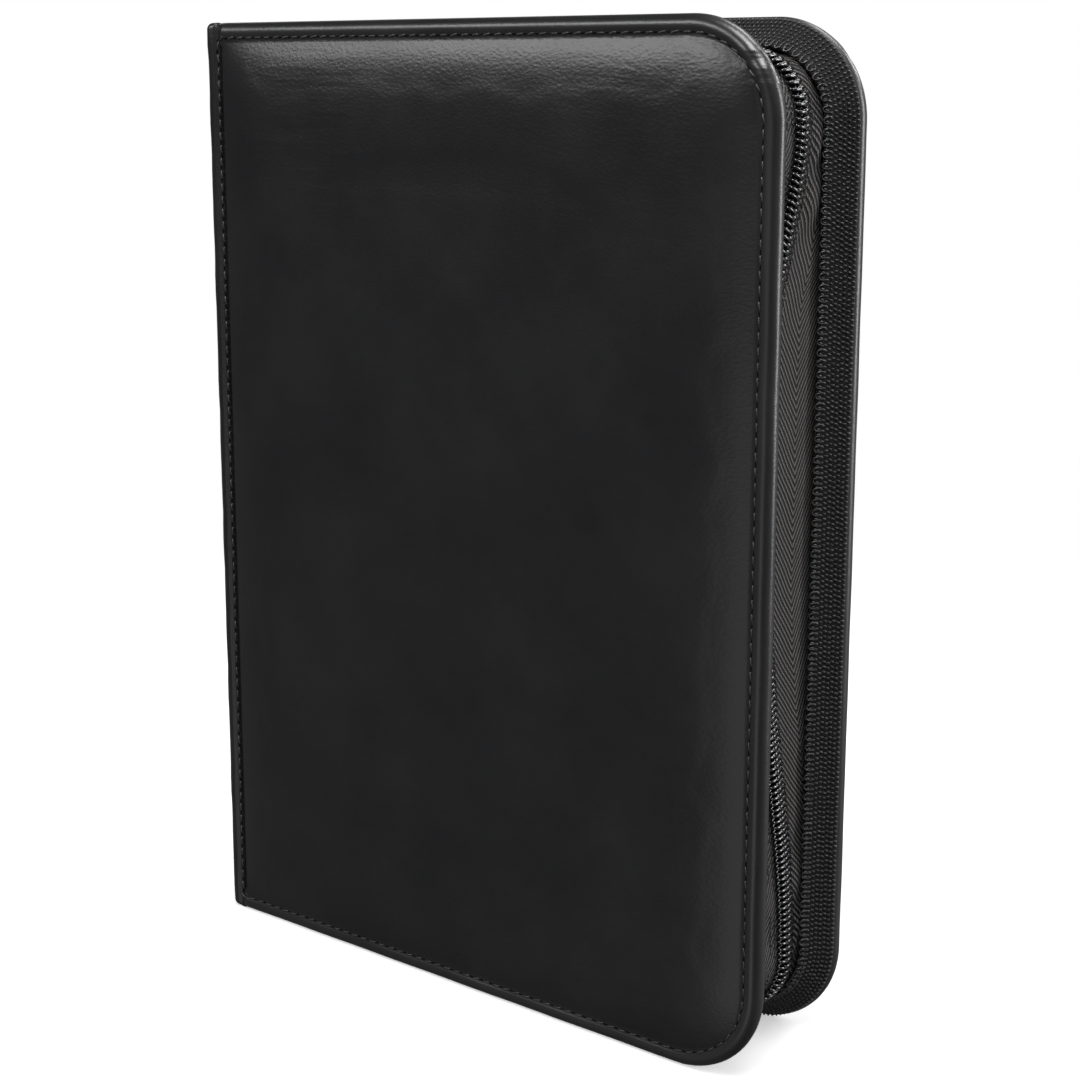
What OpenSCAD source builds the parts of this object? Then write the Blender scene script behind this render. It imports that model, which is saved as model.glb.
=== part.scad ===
// Zip-around card binder, standing on its lower edge, spine on the left.
// X runs from the spine to the fore edge, Y from the front cover to the back cover, Z up.
// The origin is the middle of the base.

/* [Covers] */
// Width from the spine's outer face to the fore edge
cover_w = 180; // [160:1:230]
// Height of the covers
cover_h = 250; // [225:1:320]
// Thickness of the closed binder over both padded panels
case_t = 42; // [38:0.5:60]
// Radius of the two fore-edge corners
corner_r = 24; // [20:0.5:40]
// Leatherette thickness
skin_t = 1; // [0.7:0.1:1.4]
// Foam thickness under the flat of a panel
foam_t = 2.4; // [1.6:0.1:3.5]
// Stiffener board thickness
board_t = 2; // [1.5:0.1:3]
// Lining thickness
lining_t = 0.6; // [0.4:0.1:1]
// Radius of the rolled rim and of the crease rolls
rim_r = 2.5; // [2.3:0.1:3]
// Distance of the stitch line from the edge
stitch_in = 4; // [3.2:0.1:4.4]
// Width of the padded shoulder inside the stitch line
puff_w = 12; // [6:0.5:14]
// How much of the lower rim is pressed flat by standing
foot_cut = 0.5; // [0.3:0.1:0.8]

/* [Spine] */
// How far the spine's middle swells past its ends
spine_swell = 1.2; // [0.6:0.1:2]
// Gap between a crease roll and the cover that turns on it
crease_gap = 0.5; // [0.3:0.1:0.8]

/* [Gusset] */
// Depth of the zip tapes below the covers' edges
zip_inset = 8.5; // [7:0.5:12]
// Zip tape thickness
tape_t = 0.6; // [0.4:0.1:1]
// Clearance between the webbing and the slider or the coils
web_gap = 0.4; // [0.3:0.1:1]
// Webbing thickness, measured along the cover
web_t = 1.8; // [1:0.1:2.5]
// Distance of the webbing from the back cover's edge
web_edge = 2.8; // [2.6:0.1:4]

/* [Chain] */
// Spacing of the teeth of one half
tooth_pitch = 1.6; // [1.2:0.1:2.4]
// Width of one tooth along the chain
tooth_w = 0.5; // [0.3:0.05:0.7]
// Height of the coils on the tape
coil_h = 2.2; // [1.6:0.1:3]
// Half the width of the closed chain
coil_half = 3.1; // [2.4:0.1:4]
// Reach of a tooth past the middle of the chain
tooth_reach = 0.6; // [0.3:0.1:1]
// Half the gap between the two tapes under the chain
tape_gap = 1.4; // [1.2:0.1:1.7]
// Place of the chain along the top run, from the middle towards the back cover
chain_top = 3; // [0:0.5:5]
// How far the chain swings to the front between the corners of the fore edge
chain_swing = 12; // [0:0.5:13]
// Place of the chain along the bottom run
chain_low = 5; // [0:0.5:5]
// Height where the chain starts to swing to the back at the bottom
sag_low = 120; // [60:1:150]
// Height where the chain starts to swing to the back at the top
sag_high = 175; // [160:1:195]
// Distance of the chain's ends from the spine's outer face
chain_start = 32.5; // [28:0.5:45]

/* [Slider] */
// Length of the slider
slider_l = 12; // [10:0.5:16]
// Thickness of the slider's plates, flanges and bail
slider_wall = 1.2; // [1:0.1:1.6]
// Clearance between the slider and the chain
slider_gap = 0.3; // [0.2:0.05:0.4]
// Thickness of the wedge that parts the chain
wedge_t = 2; // [1.4:0.1:2.2]
// Length of the pull tab from its bar
pull_l = 25; // [15:0.5:27]
// Width of the pull tab
pull_w = 7; // [6.5:0.5:9]
// Diameter of the pull tab's bar
bar_d = 1.2; // [1:0.1:1.4]

/* [Leaves] */
// Number of leaves, an even number
leaf_count = 20; // [10:2:20]
// Spacing of the leaves on the binding
leaf_pitch = 1.3; // [1.2:0.05:1.35]
// Clearance between the leaves and the zip tape along the fore edge
leaf_fore_gap = 8; // [2:0.5:20]
// Clearance between the leaves and the ends of the covers
leaf_end_gap = 25; // [14:0.5:35]
// Thickness of the sheet in the middle of a leaf
sheet_t = 0.2; // [0.15:0.01:0.25]
// Thickness of the pocket film on each face
film_t = 0.15; // [0.1:0.01:0.16]
// Width of a welded seam
weld_w = 2.5; // [2:0.1:4]
// Plain margin between the fold and the pockets
leaf_margin = 8; // [6:0.5:14]
// Thickness of the binding strip on the spine
binding_t = 3; // [2:0.1:4]
// Length of the stubs that the leaves fold on
stub_l = 4.6; // [3:0.1:6]

/* [Hidden] */
$fn = 48;
LEAVES = [for (k = [1 : leaf_count]) str("leaf_", k < 10 ? "0" : "", k)];

leather = "#232325";
foam_grey = "#5a5a5e";
board_grey = "#8d8779";
lining_black = "#1c1c1e";
tape_black = "#2c2c2e";
coil_black = "#151517";
metal_black = "#3a3a3d";
page_black = "#2a2d33";

// Layers of a cover, counted outwards from its inner face
board_n = lining_t;
foam_n = board_n + board_t;
panel_n = foam_n + foam_t + skin_t;
inner_y = case_t / 2 - panel_n;
valley_n = rim_r + sqrt(rim_r ^ 2 - (stitch_in - rim_r) ^ 2);
hem_in = rim_r + 0.1;
foam_in = stitch_in + 0.4;

// Places that several pieces share
spine_x = -cover_w / 2;
fore_x = cover_w / 2;
crease_x = spine_x + rim_r;
crease_y = inner_y + rim_r;
cover_x = crease_x + rim_r + crease_gap;
corner_x = fore_x - corner_r;
corner_top = cover_h - corner_r;
corner_low = corner_r - foot_cut;
beyond = cover_w + cover_h;

// The spine's layers, counted from its outer face
spine_board_x = spine_x + spine_swell + skin_t + 0.2;
spine_lining_x = spine_board_x + board_t;
spine_in_x = spine_lining_x + lining_t;
spine_end_gap = 0.8;

// The chain, and the slider parked at its top end
tape_x = fore_x - zip_inset;
tape_top = cover_h - zip_inset;
tape_low = zip_inset - foot_cut;
chain_x = spine_x + chain_start;
chain_mid = chain_top - chain_swing;
tail_x = cover_x + 2;
tooth_root = 1.2;
mouth_x = chain_x - wedge_t - slider_gap - 0.7;
slider_lip = 0.4;
slider_half = coil_half + slider_gap + slider_wall + slider_lip;
web_front = max(chain_top + slider_half, chain_low + coil_half) + web_gap;
slider_floor = tape_top - tape_t - slider_gap - slider_wall;
slider_roof = tape_top + coil_h + slider_gap + slider_wall;
bail_span = 4;
bail_w = 2.4;
bar_gap = 0.2;
bar_x = mouth_x + slider_l / 2;
bar_z = slider_roof + bar_gap + bar_d / 2;
stop_l = 3;
stop_gap = 4.5;
stop_x = mouth_x - stop_gap - stop_l;

// The page block
binding_x = spine_in_x + binding_t;
fold_gap = 0.1;
fold_r = sheet_t / 2 + film_t;
fold_x = binding_x + stub_l + fold_gap + fold_r;
leaf_w = tape_x - tape_t - leaf_fore_gap - fold_x;
leaf_h = cover_h - 2 * leaf_end_gap;
leaf_low = leaf_end_gap;
function leaf_y(k) = (k - (leaf_count - 1) / 2) * leaf_pitch;

// A smooth step from 0 to 1
function ease(t) = let (c = min(1, max(0, t))) c * c * (3 - 2 * c);
// Where the chain runs at height z of the fore edge
function chain_y(z) =
    chain_mid
    + (chain_top - chain_mid) * ease((z - sag_high) / (corner_top - sag_high))
    + (chain_low - chain_mid) * ease((sag_low - z) / (sag_low - corner_low));

// Points of a round stretch
function arc(cx, cy, r, from, to, steps) =
    [for (i = [0 : steps]) let (a = from + (to - from) * i / steps) [cx + r * cos(a), cy + r * sin(a)]];

// Outer contour of a cover's rim and padded shoulder, as distance from the edge and height
rim_points = arc(-rim_r, rim_r, rim_r, -90, acos((rim_r - stitch_in) / rim_r), 14);
shoulder_steps = 8;
function shoulder(drop) =
    [for (i = [1 : shoulder_steps]) let (t = i / shoulder_steps)
        [-stitch_in - puff_w * t, valley_n - drop + (panel_n - valley_n) * sqrt(1 - (1 - t) ^ 2)]];

// Outline of a cover, inset from its edges and starting at x
module cover_outline(inset, x) {
    r = corner_r - inset;
    polygon(concat(
        [[x, inset - foot_cut]],
        arc(corner_x, corner_low, r, -90, 0, 12),
        arc(corner_x, corner_top, r, 0, 90, 12),
        [[x, cover_h - inset]]));
}

// A plate of the front cover between two heights
module cover_plate(inset, x, low, high) {
    translate([0, -inner_y - low, 0])
        rotate([90, 0, 0])
            linear_extrude(high - low)
                cover_outline(inset, x);
}

// Sweeps a profile along the top, the corners, the fore edge and the bottom.
// The profile's x is the distance outwards from the edge, its y is the part's Y.
module along_edges(x) {
    run = corner_x - x;
    translate([corner_x, 0, cover_h]) rotate([0, -90, 0]) linear_extrude(run) children();
    translate([x, 0, -foot_cut]) rotate([0, 90, 0]) linear_extrude(run) children();
    translate([fore_x, 0, corner_low]) linear_extrude(corner_top - corner_low) children();
    at_corner(true) rotate_extrude(angle = 90) translate([corner_r, 0]) children();
    at_corner(false) rotate_extrude(angle = 90) translate([corner_r, 0]) children();
}

// Puts a revolved piece at the upper or the lower fore-edge corner
module at_corner(upper) {
    translate([corner_x, 0, upper ? corner_top : corner_low])
        rotate([-90, 0, 0])
            rotate([0, 0, upper ? -90 : 0])
                children();
}

// The front cover's outer form, lowered by drop and drawn in from its edges
module padded_form(drop, inset, low, x) {
    contour = drop == 0 ? concat(rim_points, shoulder(0)) : shoulder(drop);
    base = drop == 0 ? [] : [[-inset, low], [-inset, valley_n - drop + 0.3]];
    top = panel_n - drop;
    flat_in = -stitch_in - puff_w - 1;
    section = concat(base, contour, [[flat_in, top], [flat_in, low]]);
    side = concat(
        [[x, low], [x, valley_n - drop]],
        [for (p = shoulder(drop)) [x - p[0] - stitch_in, p[1]]],
        [[beyond, top], [beyond, low]]);
    intersection() {
        union() {
            along_edges(x) polygon([for (p = section) [p[0], -inner_y - p[1]]]);
            cover_plate(stitch_in + puff_w, x, low, top);
        }
        linear_extrude(3 * beyond, center = true)
            polygon([for (p = side) [p[0], -inner_y - p[1]]]);
    }
}

// The leatherette of a front cover: rolled rim, stitched valley and padded panel
module cover_skin() {
    color(leather)
        intersection() {
            difference() {
                padded_form(0, 0, 0, cover_x);
                cover_plate(hem_in, cover_x + skin_t, -1, foam_n);
                cover_foam();
            }
            translate([-beyond, -beyond, 0]) cube(2 * beyond);
        }
}

// The padding between the board and the leatherette
module cover_foam() {
    color(foam_grey) padded_form(skin_t, foam_in, foam_n, cover_x + skin_t);
}

module cover_board() {
    color(board_grey) cover_plate(hem_in, cover_x + skin_t, board_n, foam_n);
}

module cover_lining() {
    color(lining_black) cover_plate(hem_in, cover_x + skin_t, 0, board_n);
}

// Turns a front piece into its twin on the back cover
module on_back() {
    mirror([0, 1, 0]) children();
}

// The spine's outer curve at a depth below the leather
spine_steps = 10;
function spine_curve(depth) =
    [for (i = [0 : spine_steps]) let (t = 2 * i / spine_steps - 1)
        [spine_x + depth + spine_swell * t ^ 2, t * inner_y]];
function reversed(list) = [for (i = [len(list) - 1 : -1 : 0]) list[i]];

module spine_skin() {
    color(leather)
        linear_extrude(cover_h)
            polygon(concat(spine_curve(0), reversed(spine_curve(skin_t))));
}

module spine_foam() {
    color(foam_grey)
        translate([0, 0, skin_t])
            linear_extrude(cover_h - 2 * skin_t)
                polygon(concat(spine_curve(skin_t), [[spine_board_x, inner_y], [spine_board_x, -inner_y]]));
}

// A flat layer of the spine
module spine_layer(x, t) {
    translate([x, -inner_y + spine_end_gap, skin_t])
        cube([t, 2 * (inner_y - spine_end_gap), cover_h - 2 * skin_t]);
}

module spine_board() {
    color(board_grey) spine_layer(spine_board_x, board_t);
}

module spine_lining() {
    color(lining_black) spine_layer(spine_lining_x, lining_t);
}

// The rolled fold that a cover turns on
module crease(side) {
    color(leather) translate([crease_x, side * crease_y, 0]) cylinder(r = rim_r, h = cover_h);
}

// The ribbed band that leans from the back cover's edge in to the zip tape
module back_webbing() {
    color(tape_black)
        along_edges(tail_x)
            polygon([
                [-web_edge, inner_y],
                [-zip_inset, web_front],
                [-zip_inset, web_front + web_t],
                [-web_edge - web_t, inner_y]]);
}

// One zip tape: side is -1 for the front half, 1 for the back half
module zip_tape(side) {
    edge_steps = 40;
    height = corner_top - corner_low;
    edge = [for (i = [0 : edge_steps]) let (z = corner_low + height * i / edge_steps)
        [chain_y(z) + side * tape_gap, z]];
    color(tape_black) {
        translate([tape_x - tape_t, 0, 0])
            rotate([90, 0, 90])
                linear_extrude(tape_t)
                    polygon(concat(edge, [[side * inner_y, corner_top], [side * inner_y, corner_low]]));
        tape_run(side, chain_top, tape_top - tape_t, true);
        tape_run(side, chain_low, tape_low, false);
    }
}

// The straight run and the corner of a tape, along the top or the bottom
module tape_run(side, middle, z, upper) {
    near = middle + side * tape_gap;
    low = min(near, side * inner_y);
    width = abs(side * inner_y - near);
    translate([tail_x, low, z]) cube([corner_x - tail_x, width, tape_t]);
    at_corner(upper)
        rotate_extrude(angle = 90)
            translate([corner_r - zip_inset - tape_t, low])
                square([tape_t, width]);
}

// Comb outline along a run: base edge on one side, teeth reaching past the middle.
// place gives the chain's middle at a point of the run.
function comb(from, count, pitch, side, place) = concat(
    [for (i = [0 : count - 1]) each let (a = from + i * pitch + (side > 0 ? pitch / 2 : 0), m = place(a))
        [[m + side * tooth_root, a], [m - side * tooth_reach, a],
         [m - side * tooth_reach, a + tooth_w], [m + side * tooth_root, a + tooth_w]]],
    [[place(from + count * pitch) + side * tooth_root, from + count * pitch]],
    [for (i = [count : -1 : 0]) let (a = from + i * pitch) [place(a) + side * coil_half, a]],
    [[place(from) + side * tooth_root, from]]);

// One half of the chain: a base strip on the tape's edge with its teeth
module zip_coil(side) {
    rise = corner_top - corner_low;
    rise_count = floor(rise / tooth_pitch);
    run = corner_x - chain_x;
    run_count = floor(run / tooth_pitch);
    color(coil_black) {
        translate([tape_x, 0, 0])
            rotate([90, 0, 90])
                linear_extrude(coil_h)
                    polygon(comb(corner_low, rise_count, rise / rise_count, side, function (z) chain_y(z)));
        translate([0, 0, tape_top])
            linear_extrude(coil_h)
                flipped()
                    polygon(comb(chain_x, run_count, run / run_count, side, function (x) chain_top));
        translate([0, 0, tape_low - coil_h])
            linear_extrude(coil_h)
                flipped()
                    polygon(comb(chain_x, run_count, run / run_count, side, function (x) chain_low));
        coil_corner(side, chain_top, true);
        coil_corner(side, chain_low, false);
    }
}

// Swaps a flat outline's x and y
module flipped() {
    mirror([1, -1, 0]) children();
}

// The teeth round a fore-edge corner
module coil_corner(side, middle, upper) {
    radius = corner_r - zip_inset;
    count = round(radius * PI / 2 / tooth_pitch);
    step = 90 / count;
    tooth_a = tooth_w / radius * 180 / PI;
    tip = tooth_root + tooth_reach;
    at_corner(upper)
        difference() {
            rotate_extrude(angle = 90)
                translate([radius, middle - (side > 0 ? tooth_reach : coil_half)])
                    square([coil_h, coil_half + tooth_reach]);
            for (i = [-1 : count - 1])
                rotate([0, 0, (i + (side > 0 ? 0.5 : 0)) * step + tooth_a])
                    rotate_extrude(angle = step - tooth_a)
                        translate([radius - 1, middle + (side > 0 ? -tooth_reach - 1 : -tooth_root)])
                            square([coil_h + 2, tip + 1]);
        }
}

// The clips that end a tape's edge, at the top and at the bottom run
module zip_stops(side) {
    color(metal_black) {
        zip_clip(side, chain_top, tape_top);
        zip_clip(side, chain_low, tape_low + tape_t);
    }
}

// A clip folded over a tape's edge, whose upper face is at z
module zip_clip(side, middle, z) {
    wall = 0.6;
    grip = 2;
    translate([stop_x, middle, z])
        rotate([90, 0, 90])
            linear_extrude(stop_l)
                polygon([for (p = [
                    [tape_gap - wall, wall], [tape_gap + grip, wall], [tape_gap + grip, 0], [tape_gap, 0],
                    [tape_gap, -tape_t], [tape_gap + grip, -tape_t], [tape_gap + grip, -tape_t - wall],
                    [tape_gap - wall, -tape_t - wall]]) [side * p[0], p[1]]]);
}

// Outline of a slider plate: broad at the mouth, narrower where the chain is closed
module slider_outline(half) {
    tail = half - 0.8;
    shoulder_x = slider_l * 0.45;
    nip = 1.2;
    polygon([
        [0, nip - half], [nip, -half], [shoulder_x, -half], [slider_l - nip, -tail], [slider_l, nip - tail],
        [slider_l, tail - nip], [slider_l - nip, tail], [shoulder_x, half], [nip, half], [0, half - nip]]);
}

// The slider: two plates joined by a wedge, side flanges and a bail for the pull
module slider_body() {
    color(metal_black)
        translate([mouth_x, chain_top, 0])
            difference() {
                union() {
                    translate([0, 0, slider_floor])
                        linear_extrude(slider_wall) slider_outline(slider_half);
                    translate([0, 0, tape_top + slider_gap])
                        linear_extrude(slider_roof - tape_top - slider_gap) slider_outline(slider_half);
                    translate([0, -wedge_t / 2, slider_floor])
                        cube([wedge_t, wedge_t, slider_roof - slider_floor]);
                    slider_bail();
                }
                // Channel for the two coils
                translate([wedge_t, -coil_half - slider_gap, tape_top])
                    cube([slider_l, 2 * (coil_half + slider_gap), coil_h + slider_gap]);
                // Mouths on both sides of the wedge
                for (side = [-1, 1])
                    translate([-1, side > 0 ? wedge_t / 2 : -coil_half - slider_gap, tape_top])
                        cube([wedge_t + 2, coil_half + slider_gap - wedge_t / 2, coil_h + slider_gap]);
            }
}

// The arch on the slider's roof
module slider_bail() {
    inner_h = bar_d + 2 * bar_gap;
    outer_l = bail_span + 2 * slider_wall;
    translate([slider_l / 2, bail_w / 2, slider_roof])
        rotate([90, 0, 0])
            linear_extrude(bail_w)
                polygon([
                    [-outer_l / 2, 0], [-outer_l / 2, inner_h], [-bail_span / 2, inner_h + slider_wall * 0.8],
                    [bail_span / 2, inner_h + slider_wall * 0.8], [outer_l / 2, inner_h], [outer_l / 2, 0],
                    [bail_span / 2, 0], [bail_span / 2, inner_h], [-bail_span / 2, inner_h], [-bail_span / 2, 0]]);
}

// The pull: a round bar under the bail, two arms and a tab with a round end and a slot
module pull_tab() {
    arm = 1.2;
    eye_l = bail_span / 2 + slider_wall + 0.6;
    slot_w = pull_w - 2 * arm;
    color(metal_black)
        translate([bar_x, chain_top, bar_z]) {
            rotate([90, 0, 0]) cylinder(d = bar_d, h = pull_w, center = true);
            translate([0, 0, -bar_d / 2])
                linear_extrude(bar_d)
                    difference() {
                        union() {
                            translate([0, -pull_w / 2]) square([pull_l - pull_w / 2, pull_w]);
                            translate([pull_l - pull_w / 2, 0]) circle(d = pull_w);
                        }
                        translate([-1, -slot_w / 2]) square([eye_l + 1, slot_w]);
                        translate([pull_l - pull_w / 2, 0]) circle(d = 3);
                    }
        }
}

// The strip on the spine, with a stub for each leaf
module page_binding() {
    half = leaf_y(leaf_count - 1) + fold_r;
    color(page_black)
        translate([0, 0, leaf_low])
            linear_extrude(leaf_h) {
                translate([spine_in_x, -half]) square([binding_t, 2 * half]);
                for (k = [0 : leaf_count - 1])
                    translate([binding_x, leaf_y(k) - fold_r]) square([stub_l, 2 * fold_r]);
            }
}

// One leaf: a round fold, the middle sheet, and two by two pockets on each face
module leaf(k) {
    pocket_w = (leaf_w - leaf_margin - 3 * weld_w) / 2;
    pocket_h = (leaf_h - 3 * weld_w) / 2;
    thick = sheet_t + 2 * film_t;
    color(page_black)
        translate([fold_x, leaf_y(k), leaf_low]) {
            cylinder(r = fold_r, h = leaf_h);
            translate([0, -sheet_t / 2, 0]) cube([leaf_w, sheet_t, leaf_h]);
            for (i = [0, 1], j = [0, 1])
                translate([
                    leaf_margin + weld_w + i * (pocket_w + weld_w), -thick / 2,
                    weld_w + j * (pocket_h + weld_w)])
                    cube([pocket_w, thick, pocket_h]);
        }
}

cover_skin();  // front_skin
cover_foam();  // front_foam
cover_board();  // front_board
cover_lining();  // front_lining
on_back() cover_skin();  // back_skin
on_back() cover_foam();  // back_foam
on_back() cover_board();  // back_board
on_back() cover_lining();  // back_lining
spine_skin();
spine_foam();
spine_board();
spine_lining();
crease(-1);  // front_crease
crease(1);  // back_crease
back_webbing();
zip_tape(-1);  // front_zip_tape
zip_tape(1);  // back_zip_tape
zip_coil(-1);  // front_zip_coil
zip_coil(1);  // back_zip_coil
zip_stops(-1);  // front_zip_stops
zip_stops(1);  // back_zip_stops
slider_body();
pull_tab();
page_binding();
for (k = [0 : leaf_count - 1])
    leaf(k);
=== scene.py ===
import math

import bmesh
import bpy
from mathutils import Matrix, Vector


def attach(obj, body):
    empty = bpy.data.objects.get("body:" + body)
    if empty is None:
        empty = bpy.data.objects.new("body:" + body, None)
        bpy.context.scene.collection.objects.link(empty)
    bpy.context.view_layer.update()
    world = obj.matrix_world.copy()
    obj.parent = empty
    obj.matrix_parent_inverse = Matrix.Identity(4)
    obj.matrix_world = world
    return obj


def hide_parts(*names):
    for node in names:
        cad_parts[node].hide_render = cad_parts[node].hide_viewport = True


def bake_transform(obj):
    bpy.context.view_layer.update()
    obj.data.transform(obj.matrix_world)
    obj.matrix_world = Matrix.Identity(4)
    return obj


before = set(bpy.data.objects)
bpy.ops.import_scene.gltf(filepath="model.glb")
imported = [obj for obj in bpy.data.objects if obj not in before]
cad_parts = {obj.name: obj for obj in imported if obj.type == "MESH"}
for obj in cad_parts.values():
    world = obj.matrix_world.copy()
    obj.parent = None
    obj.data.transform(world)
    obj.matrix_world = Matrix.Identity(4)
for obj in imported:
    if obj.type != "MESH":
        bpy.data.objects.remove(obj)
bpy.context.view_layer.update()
scene = bpy.context.scene
mm = 0.001

# the closed case, in millimetres, as the solids have it
case = {
    "width": 180.0,
    "height": 250.0,
    "corner": 24.0,
    "innerFace": 15.0,
    "rim": 2.5,
    "stitchIn": 4.0,
    "footCut": 0.5,
    "valley": 4.5,
    "coverX": -84.5,
    "creaseX": -87.5,
    "creaseY": 17.5,
    "spineX": -90.0,
    "spineSwell": 1.2,
}
zipper = {
    "inset": 8.5,
    "tapeThick": 0.6,
    "tapeGap": 1.4,
    "topY": 3.0,
    "midY": -9.0,
    "lowY": 5.0,
    "sagLow": 120.0,
    "sagHigh": 175.0,
    "chainX": -57.5,
    "tailX": -82.5,
    "pitch": 1.6,
}
halves = (("front", -1, "front_cover"), ("back", 1, "back_cover"))
cornerX = case["width"] / 2 - case["corner"]
cornerTop = case["height"] - case["corner"]
cornerLow = case["corner"] - case["footCut"]


def ease(t):
    c = min(1.0, max(0.0, t))
    return c * c * (3 - 2 * c)


# how far back the chain lies at a height on the fore edge
def chainPlace(z):
    up = ease((z - zipper["sagHigh"]) / (cornerTop - zipper["sagHigh"]))
    down = ease((zipper["sagLow"] - z) / (zipper["sagLow"] - cornerLow))
    mid = zipper["midY"]
    return mid + (zipper["topY"] - mid) * up + (zipper["lowY"] - mid) * down


# mesh and object helpers; points are in millimetres
def makeObject(name, points, faces, material=None):
    mesh = bpy.data.meshes.new(name)
    mesh.from_pydata([tuple(c * mm for c in p) for p in points], [], faces)
    mesh.validate()
    obj = bpy.data.objects.new(name, mesh)
    scene.collection.objects.link(obj)
    if material:
        mesh.materials.append(material)
    mesh.polygons.foreach_set("use_smooth", [True] * len(mesh.polygons))
    return obj


def outwardFaces(obj):
    work = bmesh.new()
    work.from_mesh(obj.data)
    bmesh.ops.recalc_face_normals(work, faces=work.faces)
    work.to_mesh(obj.data)
    work.free()
    obj.data.update()


def gridFaces(rows, columns, closeColumns=False):
    faces = []
    for i in range(rows - 1):
        a, b = i * columns, (i + 1) * columns
        for j in range(columns if closeColumns else columns - 1):
            k = (j + 1) % columns
            faces.append((a + j, a + k, b + k, b + j))
    return faces


# faces of a thick sheet whose points are one grid, then the same grid again for the other side
def sheetFaces(rows, columns):
    count = rows * columns
    end = columns - 1
    faces = gridFaces(rows, columns)
    faces += [tuple(count + k for k in face[::-1]) for face in faces]
    for i in range(rows - 1):
        a, b = i * columns, (i + 1) * columns
        faces.append((a, b, count + b, count + a))
        faces.append((b + end, a + end, count + a + end, count + b + end))
    last = (rows - 1) * columns
    for j in range(end):
        faces.append((j + 1, j, count + j, count + j + 1))
        faces.append((last + j, last + j + 1, count + last + j + 1, count + last + j))
    return faces


# node helpers; each of the short ones returns the node's output
def addNode(tree, kind, inputs=None, **settings):
    node = tree.nodes.new(kind)
    for key, value in settings.items():
        setattr(node, key, value)
    for key, value in (inputs or {}).items():
        if isinstance(value, bpy.types.NodeSocket):
            tree.links.new(value, node.inputs[key])
        else:
            node.inputs[key].default_value = value
    return node


def mathNode(tree, operation, first, second=0.0):
    return addNode(tree, "ShaderNodeMath", {0: first, 1: second}, operation=operation).outputs["Value"]


def vectorNode(tree, operation, first, second=(0, 0, 0)):
    node = addNode(tree, "ShaderNodeVectorMath", {0: first, 1: second}, operation=operation)
    return node.outputs["Value" if operation in ("DISTANCE", "DOT_PRODUCT", "LENGTH") else "Vector"]


def remap(tree, value, fromMin, fromMax, toMin=0.0, toMax=1.0, curve="LINEAR"):
    limits = {"From Min": fromMin, "From Max": fromMax, "To Min": toMin, "To Max": toMax}
    node = addNode(tree, "ShaderNodeMapRange", {"Value": value, **limits}, interpolation_type=curve)
    return node.outputs["Result"]


def noiseAt(tree, place, scale, detail, roughness=0.5, distortion=0.0):
    inputs = {"Scale": scale, "Detail": detail, "Roughness": roughness, "Distortion": distortion}
    return addNode(tree, "ShaderNodeTexNoise", {"Vector": place, **inputs}).outputs["Fac"]


def coordsOf(tree, source, scale=(1, 1, 1), turn=(0, 0, 0)):
    coords = addNode(tree, "ShaderNodeTexCoord").outputs[source]
    inputs = {"Vector": coords, "Scale": scale, "Rotation": turn}
    return addNode(tree, "ShaderNodeMapping", inputs).outputs["Vector"]


def partsOf(tree, vector):
    return addNode(tree, "ShaderNodeSeparateXYZ", {"Vector": vector}).outputs


def colorRamp(tree, factor, stops):
    ramp = addNode(tree, "ShaderNodeValToRGB", {"Fac": factor})
    while len(ramp.color_ramp.elements) < len(stops):
        ramp.color_ramp.elements.new(0.5)
    for element, (place, color) in zip(ramp.color_ramp.elements, stops):
        element.position = place
        element.color = (*color, 1)
    return ramp.outputs["Color"]


def bumpOn(tree, height, strength, distance, below=None):
    inputs = {"Height": height, "Strength": strength, "Distance": distance}
    if below is not None:
        inputs["Normal"] = below
    return addNode(tree, "ShaderNodeBump", inputs).outputs["Normal"]


def newFinish(name, color, roughness, specular=0.5, sheen=None):
    material = bpy.data.materials.new(name)
    material.use_nodes = True
    shader = material.node_tree.nodes["Principled BSDF"]
    shader.inputs["Base Color"].default_value = (*color, 1)
    shader.inputs["Roughness"].default_value = roughness
    shader.inputs["Specular IOR Level"].default_value = specular
    if sheen:
        shader.inputs["Sheen Weight"].default_value = sheen[0]
        shader.inputs["Sheen Roughness"].default_value = sheen[1]
    return material, material.node_tree, shader


def feed(tree, shader, color, normal, rough=None):
    tree.links.new(color, shader.inputs["Base Color"])
    tree.links.new(normal, shader.inputs["Normal"])
    if rough is not None:
        tree.links.new(rough, shader.inputs["Roughness"])


# leather: lengths in metres; each fold is a middle, a reach, a turn, a stretch and a depth
leatherLook = {
    "dark": (0.0040, 0.0041, 0.0046),
    "light": (0.0062, 0.0063, 0.0068),
    "cloudScale": 34.0,
    "grainSize": 0.0007,
    "grainStretch": (0.6, 1, 1),
    "grainDepth": 0.00003,
    "fineScale": 1500.0,
    "creaseSize": 0.016,
    "creaseDepth": 0.0001,
    "creaseStrength": 0.22,
    "foldStrength": 0.8,
    "folds": [
        ((0.0862, -0.0185, 0.2395), 0.009, 0.85, (60, 60, 420), 0.0006),
        ((0.052, -0.021, 0.222), 0.045, 0.75, (40, 40, 260), 0.00009),
        ((-0.052, -0.021, 0.222), 0.036, -0.75, (30, 30, 240), 0.00026),
    ],
}


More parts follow.
